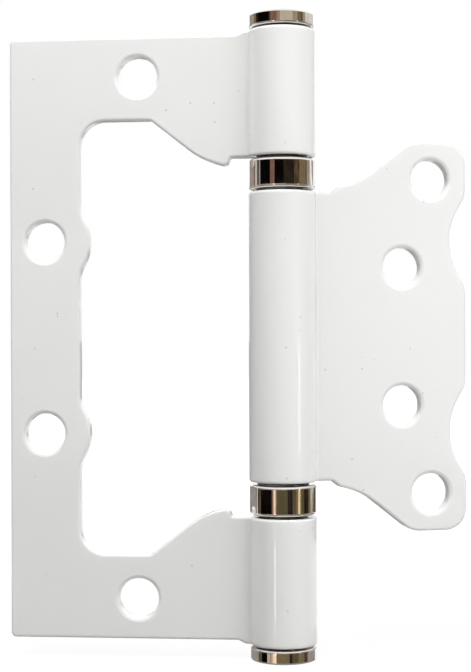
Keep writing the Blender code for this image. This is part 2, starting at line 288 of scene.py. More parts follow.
# white stoving paint on both leaves
paintLook = {
    "plain": (0.83, 0.83, 0.82),
    "white": (0.865, 0.865, 0.852, 1.0),
    "cloud": (0.855, 0.855, 0.842, 1.0),
    "cloudSize": 0.018,
    "peelSize": 0.0016,
    "peelDepth": 0.000005,
    "dentSize": 0.011,
    "dentDepth": 0.000006,
    "nibSpacing": 0.0020,
    "nibRadius": 0.00021,
    "nibShare": 0.20,
    "nibColour": (0.48, 0.43, 0.39, 1.0),
    "gloss": (0.30, 0.36),
    "coatGloss": 0.05,
    # painted shade: the near-black tone for the bore and the knuckles' ends beside the bearings, taken as
    # oiled bare steel
    "gapShadeColour": (0.035, 0.031, 0.027, 1.0),
    "gapShadeRadius": (0.0048, 0.0050),  # painted shade: near black within this distance of the pin's axis, where the paint stops at bare steel
}


def whitePaint():
    made, tree, shader, place = newMaterial("whitePaint", paintLook["plain"])
    cloud = groupNode(tree, mottle, {"Vector": place, "Size": paintLook["cloudSize"]})
    peel = groupNode(tree, mottle, {"Vector": place, "Size": paintLook["peelSize"]})
    dents = groupNode(tree, mottle, {"Vector": place, "Size": paintLook["dentSize"]})
    grains = groupNode(tree, nibs, {
        "Vector": place, "Spacing": paintLook["nibSpacing"],
        "Radius": paintLook["nibRadius"], "Share": paintLook["nibShare"]})
    ground = blendColours(tree, cloud, paintLook["white"], paintLook["cloud"])
    speckled = blendColours(tree, grains, ground, paintLook["nibColour"])
    # painted shade: near black in the bore and on the knuckles' ends beside the bearings, to deepen the gaps
    # there; the steel there is also bare of paint
    flat = addNode(tree, "ShaderNodeVectorMath", {0: place, 1: (1.0, 1.0, 0.0)}, operation="MULTIPLY")
    clearOfGapShade = spread(tree, pinDistance(tree, flat.outputs["Vector"]), paintLook["gapShadeRadius"])
    dress(tree, shader,
          blendColours(tree, clearOfGapShade, paintLook["gapShadeColour"], speckled),
          spread(tree, peel, target=paintLook["gloss"]),
          bumps(tree, peel, paintLook["peelDepth"], bumps(tree, dents, paintLook["dentDepth"])))
    shader.inputs["Coat Weight"].default_value = 1.0
    shader.inputs["Coat Roughness"].default_value = paintLook["coatGloss"]
    return made


# plated and ground pieces: metal colour, stain colour, roughness range, ring spacing and depth
metalLooks = {
    "brightNickel": {
        "metal": (0.93, 0.905, 0.875, 1.0), "stain": (0.85, 0.81, 0.76, 1.0), "stainSize": 0.0035,
        "roughness": (0.02, 0.06), "lineSpacing": 0.00006, "lineDepth": 0.0000004},
    # oiled bearing steel, painted darker than its own colour as shade where the races show in the gaps beside
    # the shells
    "shadedBearingSteel": {
        "metal": (0.28, 0.27, 0.26, 1.0), "stain": (0.10, 0.095, 0.09, 1.0), "stainSize": 0.004,
        "roughness": (0.14, 0.26), "lineSpacing": 0.00005, "lineDepth": 0.0000006},
    "pinSteel": {
        "metal": (0.55, 0.55, 0.56, 1.0), "stain": (0.38, 0.36, 0.34, 1.0), "stainSize": 0.006,
        "roughness": (0.25, 0.42), "lineSpacing": 0.00008, "lineDepth": 0.000001},
}


def plainMetal(name):
    look = metalLooks[name]
    made, tree, shader, place = newMaterial(name, look["metal"][:3])
    stain = groupNode(tree, mottle, {"Vector": place, "Size": look["stainSize"]})
    lines = groupNode(tree, turnedLines, {"Vector": place, "Spacing": look["lineSpacing"]})
    dress(tree, shader,
          blendColours(tree, stain, look["metal"], look["stain"]),
          spread(tree, stain, target=look["roughness"]),
          bumps(tree, lines, look["lineDepth"]))
    shader.inputs["Metallic"].default_value = 1.0
    return made


# natural nylon of the ball cages
nylonLook = {
    "plain": (0.86, 0.84, 0.78),
    "dark": (0.80, 0.78, 0.71, 1.0),
    "light": (0.88, 0.86, 0.80, 1.0),
    "grainSize": 0.0006,
    "grainDepth": 0.000004,
    "roughness": (0.42, 0.58),
}


def mouldedNylon():
    made, tree, shader, place = newMaterial("nylon", nylonLook["plain"])
    grain = groupNode(tree, mottle, {"Vector": place, "Size": nylonLook["grainSize"]})
    dress(tree, shader,
          blendColours(tree, grain, nylonLook["dark"], nylonLook["light"]),
          spread(tree, grain, target=nylonLook["roughness"]),
          bumps(tree, grain, nylonLook["grainDepth"]))
    return made


paint = whitePaint()
nickel = plainMetal("brightNickel")
shadedBearingSteel = plainMetal("shadedBearingSteel")
pinSteel = plainMetal("pinSteel")
nylon = mouldedNylon()
print("finishes made")


# outlines, as points (u, z): u runs outwards from the pin and z up from mid height

def arcPoints(centre, radius, start, end, step):
    count = max(2, math.ceil(abs(end - start) / step - 1e-6))
    turns = [start + (end - start) * i / count for i in range(count + 1)]
    return [(centre[0] + radius * math.cos(a), centre[1] + radius * math.sin(a)) for a in turns]


def roundCorners(corners):
    # corners are (u, z, radius); the two ends stay sharp
    points = [corners[0][:2]]
    for before, corner, after in zip(corners, corners[1:], corners[2:]):
        if not corner[2]:
            points.append(corner[:2])
            continue
        here = Vector(corner[:2])
        back = (Vector(before[:2]) - here).normalized()
        ahead = (Vector(after[:2]) - here).normalized()
        half = back.angle(ahead) / 2
        centre = here + (back + ahead).normalized() * (corner[2] / math.sin(half))
        first = here + back * (corner[2] / math.tan(half)) - centre
        last = here + ahead * (corner[2] / math.tan(half)) - centre
        start = math.atan2(first.y, first.x)
        turn = (math.atan2(last.y, last.x) - start + math.pi) % (2 * math.pi) - math.pi
        points += arcPoints(centre, corner[2], start, start + turn, barrel["outlineStep"])
    return points + [corners[-1][:2]]


def belowMiddle(points):
    return [(u, -z) for u, z in reversed(points)]


# the large leaf, with its window
outerLook = {
    "window": 0.0334,  # pin to the far side of the window
    "rail": 0.0116,
    "step": 0.0006,  # leaf's top edge below the knuckle's end
    "ramp": (0.0006, 0.0019),  # the step slopes down between these distances past the knuckle
    "corner": 0.0009,
    "windowShare": 0.7216,
    "windowCorner": 0.0042,
    "windowTopRun": 0.0118,
    "windowLip": 0.0012,
    "wingDrop": 0.00145,
    "kneeRun": 0.0044,
    "kneeRise": 0.00095,
    "kneeCut": 0.0039,
    "notchLean": 0.0004,  # the slot's end wall leans out towards the wing's tip
    "tipRadius": 0.0009,
    "notchRadius": 0.0003,
    "bulge": 0.0017,
    "blend": 0.0045,
    "cornerHole": (0.0237, 0.0428),
    "edgeHoleShare": 0.443,
}
leafTop = halfStack - outerLook["step"]
outerReach = outerLook["window"] + outerLook["rail"]
windowTop = leafTop * outerLook["windowShare"]
edgeHole = (outerLook["window"] + outerLook["rail"] / 2, windowTop * outerLook["edgeHoleShare"])
bulgeRadius = outerLook["rail"] / 2 + outerLook["bulge"]
pastBarrel = -knuckle - barrel["sheet"]


def holeRelief(edge, radius):
    # an upright edge that bulges round an edge hole, or hollows to clear that bulge
    blend = outerLook["blend"]
    foot = edge - blend
    lean = math.acos((edgeHole[0] - foot) / (radius + blend))
    rise = (radius + blend) * math.sin(lean)
    step = barrel["outlineStep"]
    lower = arcPoints((foot, edgeHole[1] - rise), blend, 0.0, lean, step)
    middle = arcPoints(edgeHole, radius, math.pi + lean, math.pi - lean, step)
    upper = arcPoints((foot, edgeHole[1] + rise), blend, -lean, 0.0, step)
    return lower + middle[1:-1] + upper


def wingCorners(gap, look):
    # the wing's tip beside the slot, its knee and its top, for either leaf
    foot = Vector((slotEnd, endFoot - outerLook["wingDrop"] - gap))
    knee = foot + Vector((outerLook["kneeRun"], outerLook["kneeRise"]))
    top = Vector((outerLook["window"] - outerLook["windowTopRun"], windowTop - gap))
    bend = (knee - foot).angle(top - knee)
    tip = foot + (knee - foot).normalized() * look["notchLean"]
    cut = outerLook["kneeCut"] - look["tipRadius"]
    return (*tip, look["tipRadius"]), (*knee, cut / math.tan(bend / 2)), top


def outerOutline():
    outside = roundCorners([
        (pastBarrel, halfStack, 0.0),
        (knuckle + outerLook["ramp"][0], halfStack, 0.0),
        (knuckle + outerLook["ramp"][1], leafTop, 0.0),
        (outerReach, leafTop, outerLook["corner"]),
        (outerReach, 0.0, 0.0),
    ])[:-1]
    tip, knee, top = wingCorners(0.0, outerLook)
    bulge = holeRelief(outerLook["window"], bulgeRadius)
    inside = bulge[:-1] + roundCorners([
        (*bulge[-1], 0.0),
        (outerLook["window"], top.y, outerLook["windowCorner"]),
        (*top, outerLook["windowLip"]),
        knee,
        tip,
        (slotEnd - outerLook["notchLean"] / 2, endFoot, outerLook["notchRadius"]),
        (pastBarrel, endFoot, 0.0),
    ])
    return outside + belowMiddle(outside) + belowMiddle(inside) + inside


# the small leaf, which nests in that window
innerLook = {
    "gapSide": 0.0022,
    "gapEnd": 0.0034,
    "corner": 0.0036,
    "shoulder": 0.0045,
    "notchLean": 0.0009,
    "tipRadius": 0.0008,
    "notchRadius": 0.0003,
    "hollowGap": 0.0033,
    "nearHole": (0.0201, 0.0114),
    "farHoleEdge": 0.0062,
}
innerReach = outerLook["window"] - innerLook["gapSide"]
farHole = (innerReach - innerLook["farHoleEdge"], windowTop - innerLook["gapEnd"] - innerLook["farHoleEdge"])


def innerOutline():
    tip, knee, top = wingCorners(innerLook["gapEnd"], innerLook)
    hollow = holeRelief(innerReach, bulgeRadius + innerLook["hollowGap"])
    upper = roundCorners([
        (pastBarrel, halfMiddle, 0.0),
        (slotEnd - innerLook["notchLean"] / 2, halfMiddle, innerLook["notchRadius"]),
        tip,
        knee,
        (*top, innerLook["shoulder"]),
        (innerReach, top.y, innerLook["corner"]),
        (*hollow[-1], 0.0),
    ])
    upper += list(reversed(hollow))[1:]
    return upper + belowMiddle(upper)


# screw holes, in both leaves: the mouth rounds over from the front face into the hole
holeLook = {
    "radius": 0.00328,
    "round": 0.00097,  # the mouth is this much wider all round
    "depth": 0.0005,
    "lift": 0.00003,  # the punch's curve starts this far over the front face
    "sides": 72,
    "step": math.radians(7.5),
}


def punchProfile():
    # from over the front face, round the mouth, through the sheet and out behind it
    hole, rounding, depth = holeLook["radius"], holeLook["round"], holeLook["depth"]
    mouth = hole + rounding
    front = barrel["sheet"] / 2
    clear = barrel["sheet"]
    quarter = arcPoints((0.0, 0.0), 1.0, math.pi / 2, math.pi, holeLook["step"])
    curve = [(mouth + rounding * u, front + holeLook["lift"] - depth * (1 - v)) for u, v in quarter]
    return [(0.0, clear), (mouth, clear)] + curve + [(hole, -clear), (0.0, -clear)]


def sheetPath():
    # middle line of the sheet: along the leaf, back through the neck and round the pin
    bend = barrel["neckBend"] + barrel["sheet"] / 2
    root = math.sqrt(curl ** 2 + 2 * curl * bend)
    lean = math.atan2(bend, root)
    step = barrel["curlStep"]
    neck = arcPoints((root, bend), bend, -math.pi / 2, -math.pi + lean, step)
    curlEnd = 2 * math.pi - barrel["seam"]
    rolled = arcPoints((0.0, 0.0), curl, lean, curlEnd - barrel["flatEnd"], step)
    lastPoint = (curl * math.cos(curlEnd), curl * math.sin(curlEnd))
    return [(outerReach + barrel["sheet"], 0.0)] + neck + rolled[1:] + [lastPoint]


def mergeClose(tree, geometry):
    return addNode(tree, "GeometryNodeMergeByDistance", {
        "Geometry": geometry, "Distance": meshLook["weld"]}).outputs["Geometry"]


def turnProfile(tree, steps, radius, profile):
    # sweeps a profile (radius, height) round a circle, about the z axis
    wheel = addNode(tree, "GeometryNodeCurvePrimitiveCircle", {"Resolution": steps, "Radius": radius})
    level = addNode(tree, "GeometryNodeSetCurveNormal", {"Curve": wheel.outputs["Curve"]}, mode="Z_UP")
    back = addNode(tree, "ShaderNodeCombineXYZ", {"X": maths(tree, "MULTIPLY", radius, -1.0)})
    # the sweep turns heights upside down, so the profile goes in mirrored
    inwards = addNode(tree, "GeometryNodeTransform", {
        "Geometry": profile, "Translation": back.outputs["Vector"], "Scale": (1.0, -1.0, 1.0)})
    line = addNode(tree, "GeometryNodeMeshToCurve", {"Mesh": inwards.outputs["Geometry"]})
    swept = addNode(tree, "GeometryNodeCurveToMesh", {
        "Curve": level.outputs["Curve"], "Profile Curve": line.outputs["Curve"]})
    return mergeClose(tree, swept.outputs["Mesh"])


def closeTree(tree, geometry, finish, result):
    plain = addNode(tree, "GeometryNodeRealizeInstances", {"Geometry": geometry})
    coated = addNode(tree, "GeometryNodeSetMaterial", {
        "Geometry": plain.outputs["Geometry"], "Material": finish})
    tree.links.new(coated.outputs["Geometry"], result)


def rolledLeafTree():
    # sweeps the sheet along its path, trims it to its outline and punches its holes
    tree, given, result = makeTree("rolledLeaf", "GeometryNodeTree", {
        "Outline": "Geometry", "Sheet path": "Object", "Holes": "Object", "Punch profile": "Object",
        "Sheet": "Float", "Blank height": "Float", "Blank depth": "Float", "Punch wheel": "Float",
        "Hole sides": "Int", "Paint": "Material",
    }, {"Leaf": "Geometry"})
    path = addNode(tree, "GeometryNodeObjectInfo", {"Object": given["Sheet path"]})
    pathCurve = addNode(tree, "GeometryNodeMeshToCurve", {"Mesh": path.outputs["Geometry"]})
    upright = addNode(tree, "GeometryNodeSetCurveNormal", {"Curve": pathCurve.outputs["Curve"]}, mode="Z_UP")
    strip = addNode(tree, "GeometryNodeCurvePrimitiveQuadrilateral", {
        "Width": given["Sheet"], "Height": given["Blank height"]})
    rolled = addNode(tree, "GeometryNodeCurveToMesh", {
        "Curve": upright.outputs["Curve"], "Profile Curve": strip.outputs["Curve"], "Fill Caps": True})

    outline = addNode(tree, "GeometryNodeMeshToCurve", {"Mesh": given["Outline"]})
    face = addNode(tree, "GeometryNodeFillCurve", {"Curve": outline.outputs["Curve"]}, mode="NGONS")
    raised = addNode(tree, "GeometryNodeExtrudeMesh", {
        "Mesh": face.outputs["Mesh"], "Offset Scale": given["Blank depth"], "Individual": False})
    under = addNode(tree, "GeometryNodeFlipFaces", {"Mesh": face.outputs["Mesh"]})
    bothFaces = addNode(tree, "GeometryNodeJoinGeometry", {
        "Geometry": [raised.outputs["Mesh"], under.outputs["Mesh"]]})
    blank = mergeClose(tree, bothFaces.outputs["Geometry"])
    halfDepth = maths(tree, "MULTIPLY", given["Blank depth"], 0.5)
    middle = addNode(tree, "ShaderNodeCombineXYZ", {"Y": halfDepth})
    stood = addNode(tree, "GeometryNodeTransform", {
        "Geometry": blank, "Translation": middle.outputs["Vector"], "Rotation": (math.pi / 2, 0.0, 0.0)})
    trimmed = addNode(tree, "GeometryNodeMeshBoolean", {
        "Mesh 2": [rolled.outputs["Mesh"], stood.outputs["Geometry"]]},
        operation="INTERSECT", solver="EXACT")

    # the punch is its profile turned round, one at each hole's place
    profile = addNode(tree, "GeometryNodeObjectInfo", {"Object": given["Punch profile"]})
    punch = turnProfile(tree, given["Hole sides"], given["Punch wheel"], profile.outputs["Geometry"])
    holes = addNode(tree, "GeometryNodeObjectInfo", {"Object": given["Holes"]})
    copies = addNode(tree, "GeometryNodeInstanceOnPoints", {
        "Points": holes.outputs["Geometry"], "Instance": punch, "Rotation": (math.pi / 2, 0.0, 0.0)})
    punches = addNode(tree, "GeometryNodeRealizeInstances", {"Geometry": copies.outputs["Instances"]})
    punched = addNode(tree, "GeometryNodeMeshBoolean", {
        "Mesh 1": trimmed.outputs["Mesh"], "Mesh 2": punches.outputs["Geometry"]},
        operation="DIFFERENCE", solver="EXACT")
    closeTree(tree, punched.outputs["Mesh"], given["Paint"], result["Leaf"])
    return tree


blankLook = {
    "height": 1.1,  # in barrel heights
    "depth": 3.2,  # in knuckle radii
    "flatWithin": math.radians(0.2),  # edges flatter than this go after the cuts
}


def stampedLeaf(name, side, outline, holes):
    outlineGuide = chainObject(name + "Outline", [(side * u, z) for u, z in outline], True)
    pathGuide = chainObject(name + "Path", [(side * u, -v) for u, v in sheetPath()], False)
    places = [(side * u, 0.0, sign * z) for u, z in holes for sign in (1, -1)]
    holeGuide = guideObject(name + "Holes", places, [])
    punchGuide = chainObject(name + "Punch", punchProfile(), False)
    mesh = runTree(outlineGuide, leafTree, {
        "Sheet path": pathGuide, "Holes": holeGuide, "Punch profile": punchGuide, "Sheet": barrel["sheet"],
        "Blank height": blankLook["height"] * barrel["stack"], "Blank depth": blankLook["depth"] * knuckle,
        "Punch wheel": knuckle, "Hole sides": holeLook["sides"], "Paint": paint}, name + "Stamped")
    for used in (pathGuide, holeGuide, punchGuide):
        bpy.data.objects.remove(used)
    work = bmesh.new()
    work.from_mesh(mesh)
    bmesh.ops.remove_doubles(work, verts=work.verts, dist=meshLook["weld"])
    bmesh.ops.dissolve_limit(work, angle_limit=blankLook["flatWithin"], verts=work.verts, edges=work.edges)
    work.to_mesh(mesh)
    work.free()
    mesh.shade_smooth()
    return mesh


# how the paint softens the stamped edges
edgeLook = {"radius": 0.0006, "fullness": 0.68, "segments": 5, "sharperThan": math.radians(32.0)}


def roundedLeaf(name, mesh):
    stamped = addObject(name + "Stamped", mesh)
    bevel = stamped.modifiers.new("roundedPaint", "BEVEL")
    bevel.width = edgeLook["radius"]
    bevel.segments = edgeLook["segments"]
    bevel.profile = edgeLook["fullness"]
    bevel.use_clamp_overlap = False
    bevel.loop_slide = False
    bevel.limit_method = "ANGLE"
    bevel.angle_limit = edgeLook["sharperThan"]
    graph = bpy.context.evaluated_depsgraph_get()
    rounded = bpy.data.meshes.new_from_object(stamped.evaluated_get(graph))
    bpy.data.objects.remove(stamped)
    rounded.name = name
    return rounded


leafTree = rolledLeafTree()
outerStamped = stampedLeaf("outerLeaf", -1, outerOutline(), [outerLook["cornerHole"], edgeHole])
outerRounded = roundedLeaf("outerLeaf", outerStamped)
addPiece("outerLeaf", outerRounded, "outer", ["outer_leaf"], atRest)
innerStamped = stampedLeaf("innerLeaf", 1, innerOutline(), [innerLook["nearHole"], farHole])
innerRounded = roundedLeaf("innerLeaf", innerStamped)
addPiece("innerLeaf", innerRounded, "inner", ["inner_leaf"], swungBack)
print("leaves rolled, trimmed and punched")


# round pieces: each is a profile (radius, height) turned about the pin
turnLook = {"wheel": 0.004, "steps": 96, "edgeStep": math.radians(15.0)}


def turnedTree():
    tree, given, result = makeTree("turnedPiece", "GeometryNodeTree", {
        "Profile": "Geometry", "Wheel": "Float", "Steps": "Int", "Finish": "Material"}, {"Piece": "Geometry"})
    closed = turnProfile(tree, given["Steps"], given["Wheel"], given["Profile"])
    closeTree(tree, closed, given["Finish"], result["Piece"])
    return tree


turnTree = turnedTree()


def turnedPiece(name, node, body, finish, profile, closed, height=0.0, flip=1):
    guide = chainObject(name + "Profile", [(r, flip * z) for r, z in profile], closed)
    mesh = runTree(guide, turnTree, {
        "Wheel": turnLook["wheel"], "Steps": turnLook["steps"], "Finish": finish}, name)
    place = Matrix.Translation(pinPlace + Vector((0.0, 0.0, height)))
    return addPiece(name, mesh, body, [node], place)


def softCorner(r, z, radius, start, end):
    # rounds a corner at (r, z) of a profile; start and end are the arc's angles in quarter turns
    centre = (r - radius * math.copysign(1, math.cos((start + end) * math.pi / 4)),
              z - radius * math.copysign(1, math.sin((start + end) * math.pi / 4)))
    return arcPoints(centre, radius, start * math.pi / 2, end * math.pi / 2, turnLook["edgeStep"])


capLook = {
    "step": 0.00015,  # the cap's rim inside the knuckle's
    "height": 0.0022,
    "edge": 0.0003,
    "rim": 0.00038,
    "spigot": 0.0030,
    "seat": 0.0003,
}


def capProfile():
    rim = knuckle - capLook["step"]
    foot = halfStack + capLook["seat"]
    top = foot + capLook["height"]
    edge = softCorner(rim, top, capLook["edge"], 1, 0)
    under = softCorner(rim, foot, capLook["rim"], 0, -1)
    tip = foot - capLook["spigot"]
    return [(0.0, top)] + edge + under + [(barrel["pin"], foot), (barrel["pin"], tip), (0.0, tip)]


pinLook = {"edge": 0.0004}


def pinProfile():
    half = halfStack - capLook["spigot"] + capLook["seat"]
    upper = [(0.0, half)] + softCorner(barrel["pin"], half, pinLook["edge"], 1, 0)
    return upper + belowMiddle(upper)


shellLook = {
    "step": 0.00005,
    "endGap": 0.0004,
    "wall": 0.00045,
    "edge": 0.0005,
    "lip": 0.00115,
    "lipEdge": 0.0001,
}
shellRadius = knuckle - shellLook["step"]
shellHalf = barrel["bearingSpace"] / 2 - shellLook["endGap"]
shellBore = shellRadius - shellLook["wall"]
lipRadius = shellRadius - shellLook["lip"]


def shellProfile():
    half, wall, lip = shellHalf, shellLook["wall"], shellLook["lipEdge"]
    upper = softCorner(shellRadius, half, shellLook["edge"], 1, 0)
    lipTop = softCorner(lipRadius, half, lip, 2, 1)
    lipUnder = softCorner(lipRadius, half - wall, lip, 3, 2)
    outside = lipTop + upper
    inside = [(shellBore, half - wall)] + lipUnder
    return outside + belowMiddle(outside) + belowMiddle(inside) + inside


raceLook = {"play": 0.0001, "gap": 0.00015, "groove": 0.0002, "edge": 0.00008}
ballLook = {
    "share": 0.79,  # of the room between bore and shell
    "count": 10,
    "segments": 32,
    "rings": 16,
}
raceRadius = shellBore - raceLook["play"]
ballRadius = (raceRadius - barrel["bore"]) * ballLook["share"] / 2
pitchRadius = raceRadius - ballRadius


def raceProfile():
    hub = lipRadius - raceLook["play"]
    face = barrel["bearingSpace"] / 2 - raceLook["gap"]
    shoulder = shellHalf - shellLook["wall"] - raceLook["play"]
    groove = ballRadius + raceLook["play"] / 2
    floor = groove - raceLook["groove"]
    lean = math.asin(floor / groove)
    track = arcPoints((pitchRadius, 0.0), groove, lean, math.pi - lean, turnLook["edgeStep"])
    rounded = softCorner(hub, face, raceLook["edge"], 1, 0)
    outside = [(hub, shoulder), (raceRadius, shoulder), (raceRadius, floor)]
    return [(barrel["bore"], face)] + rounded + outside + track + [(barrel["bore"], floor)]


turnedPiece("topCap", "top_cap", "outer", nickel, capProfile(), False)
turnedPiece("bottomCap", "bottom_cap", "outer", nickel, capProfile(), False, flip=-1)
turnedPiece("hingePin", "hinge_pin", "outer", pinSteel, pinProfile(), False)
for level, sign in (("upper", 1), ("lower", -1)):
    height = sign * bearingHeight
    turnedPiece(level + "Shell", level + "_bearing_shell", "outer", nickel,
                shellProfile(), True, height)
    turnedPiece(level + "OuterRace", level + "_bearing_outer_race", "outer", shadedBearingSteel,
                raceProfile(), True, height, sign)
    turnedPiece(level + "InnerRace", level + "_bearing_inner_race", "inner", shadedBearingSteel,
                raceProfile(), True, height, -sign)
print("caps, pin and bearing rings turned")


# ball rings

def ballRingTree():
    tree, given, result = makeTree("ballRing", "GeometryNodeTree", {
        "Centre": "Geometry", "Balls": "Int", "Pitch radius": "Float", "Ball radius": "Float",
        "Segments": "Int", "Rings": "Int", "Steel": "Material"}, {"Ring": "Geometry"})
    circle = addNode(tree, "GeometryNodeMeshCircle", {
        "Vertices": given["Balls"], "Radius": given["Pitch radius"]})
    ball = addNode(tree, "GeometryNodeMeshUVSphere", {
        "Segments": given["Segments"], "Rings": given["Rings"], "Radius": given["Ball radius"]})
    around = addNode(tree, "GeometryNodeInstanceOnPoints", {
        "Points": circle.outputs["Mesh"], "Instance": ball.outputs["Mesh"]})
    placed = addNode(tree, "GeometryNodeInstanceOnPoints", {
        "Points": given["Centre"], "Instance": around.outputs["Instances"]})
    closeTree(tree, placed.outputs["Instances"], given["Steel"], result["Ring"])
    return tree


ringTree = ballRingTree()
for level, sign in (("upper", 1), ("lower", -1)):
    centre = guideObject(level + "BallCentre", [(*barrel["pinAxis"], sign * bearingHeight)], [])
    mesh = runTree(centre, ringTree, {
        "Balls": ballLook["count"], "Pitch radius": pitchRadius, "Ball radius": ballRadius,
        "Segments": ballLook["segments"], "Rings": ballLook["rings"], "Steel": shadedBearingSteel}, level + "Balls")
    nodes = [f"{level}_ball_{i + 1:02d}" for i in range(ballLook["count"])]
    addPiece(level + "Balls", mesh, level + "_balls", nodes)
    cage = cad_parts[level + "_ball_cage"]
    for slot in cage.material_slots:
        slot.material = nylon
print("balls placed and cages finished")


# studio: pale floor, white surround, soft lamps and cards that only the gloss sees
studio = {
    "floorSize": 4.0,
    "floorColour": (0.35, 0.35, 0.34, 1.0),
    "floorFade": 0.82,  # how much of the floor the camera sees as plain white near the object
    "floorGlow": 1.14,  # over 1, to make up for the share of floor that isn't plain white
    "shadowReach": (0.08, 0.26),  # the shadow fades out between these distances
    "white": (1.0, 1.0, 1.0, 1.0),
    "ambient": (0.92, 0.95, 1.0, 1.0),
    "ambientStrength": 0.13,
}


def plainlySeen(tree):
    # 1 where the camera sees a thing, straight or in gloss or glass
    ray = addNode(tree, "ShaderNodeLightPath").outputs
    direct = maths(tree, "MAXIMUM", ray["Is Camera Ray"], ray["Is Glossy Ray"])
    return maths(tree, "MAXIMUM", direct, ray["Is Transmission Ray"])


def floorMaterial():
    # the camera sees mostly white, with some of the object's shadow left in it
    made = bpy.data.materials.new("paleFloor")
    made.use_nodes = True
    tree = made.node_tree
    tree.nodes.clear()
    cloth = addNode(tree, "ShaderNodeBsdfDiffuse", {"Color": studio["floorColour"]})
    glow = addNode(tree, "ShaderNodeEmission", {"Color": studio["white"], "Strength": studio["floorGlow"]})
    place = addNode(tree, "ShaderNodeTexCoord").outputs["Object"]
    fade = spread(tree, pinDistance(tree, place), studio["shadowReach"], (studio["floorFade"], 1.0))
    share = maths(tree, "MULTIPLY", plainlySeen(tree), fade)
    both = addNode(tree, "ShaderNodeMixShader", {
        0: share, 1: cloth.outputs["BSDF"], 2: glow.outputs["Emission"]})
    addNode(tree, "ShaderNodeOutputMaterial", {"Surface": both.outputs["Shader"]})
    return made


def makeFloor():
    half = studio["floorSize"] / 2
    height = cadBox[0].z
    corners = [(-half, -half, height), (half, -half, height), (half, half, height), (-half, half, height)]
    mesh = bpy.data.meshes.new("floor")
    mesh.from_pydata(corners, [], [(0, 1, 2, 3)])
    mesh.materials.append(floorMaterial())
    floor = addObject("floor", mesh)
    floor.visible_glossy = False  # plating sees the cards and the white room through it


def makeWorld():
    world = bpy.data.worlds.new("whiteRoom")
    bpy.context.scene.world = world
    world.use_nodes = True
    tree = world.node_tree
    tree.nodes.clear()
    ambient = addNode(tree, "ShaderNodeBackground", {
        "Color": studio["ambient"], "Strength": studio["ambientStrength"]})
    white = addNode(tree, "ShaderNodeBackground", {"Color": studio["white"], "Strength": 1.0})
    both = addNode(tree, "ShaderNodeMixShader", {
        0: plainlySeen(tree), 1: ambient.outputs["Background"], 2: white.outputs["Background"]})
    addNode(tree, "ShaderNodeOutputWorld", {"Surface": both.outputs["Shader"]})


# cards round the pin that only gloss and plating see; each is patchy between two tones
cardColours = {
    "black": ((0.001, 0.001, 0.001), (0.004, 0.002, 0.002)),
    "umber": ((0.005, 0.004, 0.003), (0.040, 0.028, 0.020)),
    "rust": ((0.004, 0.002, 0.001), (0.150, 0.100, 0.055)),
    "olive": ((0.075, 0.062, 0.030), (0.115, 0.097, 0.055)),
    "khaki": ((0.14, 0.10, 0.055), (0.22, 0.17, 0.10)),
    "mauve": ((0.15, 0.080, 0.062), (0.23, 0.135, 0.105)),
    "rose": ((0.28, 0.18, 0.14), (0.38, 0.27, 0.21)),
    "clay": ((0.28, 0.22, 0.16), (0.38, 0.32, 0.24)),
    "sand": ((0.46, 0.39, 0.30), (0.56, 0.49, 0.39)),
    "apricot": ((0.52, 0.37, 0.25), (0.72, 0.54, 0.40)),
    "peach": ((0.74, 0.56, 0.40), (1.20, 0.98, 0.78)),
    "gold": ((0.34, 0.27, 0.13), (0.48, 0.40, 0.22)),
    "straw": ((0.82, 0.66, 0.36), (1.20, 1.00, 0.66)),
    "white": ((1.00, 1.00, 1.00), (1.30, 1.30, 1.30)),
    "streak": ((8.0, 7.6, 7.2), (11.0, 10.5, 10.0)),
    "grey": ((0.24, 0.22, 0.21), (0.36, 0.34, 0.32)),
    "pale": ((0.55, 0.52, 0.49), (0.78, 0.75, 0.71)),
}
cards = {
    "radius": 0.7,
    "step": math.radians(4),
    "patchSize": 0.12,
    "patchFlatness": 25.0,  # patches are this many times wider than high
    "ground": "grey",
    "groundStep": math.radians(10),
    "firstEdge": -180,
    # each row is named after what reflects it: its lowest and highest edge, then where each card ends,
    # in degrees from the camera and positive to its right
    "rows": {
        "topCap": (0.13, 0.27, [
            (-150, "white"), (-112, "grey"), (-100, "khaki"), (-88, "umber"), (-46, "black"), (-40, "umber"),
            (-16, "mauve"), (-5, "rose"), (40, "sand"), (58, "clay"), (72, "khaki"), (80, "olive"),
            (92, "clay"), (150, "pale"), (180, "white")]),
        "upperRing": (0.072, 0.13, [
            (-150, "white"), (-113, "grey"), (-107, "mauve"), (-101, "grey"), (-93, "clay"), (-87, "umber"),
            (-80, "grey"), (-41, "black"), (-25, "mauve"), (6, "black"), (42, "umber"), (62, "rust"),
            (91, "khaki"), (95, "olive"), (105, "clay"), (110, "grey"), (124, "pale"), (136, "grey")]),
        "aboveMiddle": (0.0, 0.072, [
            (-155, "white"), (-80, "grey"), (12, "pale"), (155, "grey"), (180, "white")]),
        "belowMiddle": (-0.072, 0.0, [
            (-80, "grey"), (12, "pale"), (57, "grey"), (59.5, "streak"), (180, "grey")]),
        "lowerRing": (-0.125, -0.072, [
            (-105, "grey"), (-97, "khaki"), (-92, "umber"), (-83, "olive"), (-40, "black"), (-35, "mauve"),
            (-32, "apricot"), (-28, "peach"), (-25, "apricot"), (-21, "khaki"), (15, "olive"), (32, "umber"),
            (44, "olive"), (51, "khaki"), (54, "gold"), (58, "straw"), (62, "gold"), (66, "khaki"),
            (76, "olive"), (97, "umber"), (106, "khaki"), (117, "clay"), (131, "khaki"), (150, "olive")]),
        "lowerKnuckle": (-0.18, -0.125, [
            (-83, "pale"), (-34, "black"), (-30, "rose"), (-27, "streak"), (76, "khaki"), (100, "grey"),
            (180, "white")]),
        "bottomCap": (-0.27, -0.18, [
            (-100, "grey"), (-83, "olive"), (-60, "black"), (-50, "sand"), (-44, "clay"), (-38, "apricot"),
            (-26, "peach"), (20, "khaki"), (30, "umber"), (52, "olive"), (76, "khaki"), (92, "rust"),
            (140, "grey")]),
    },
}
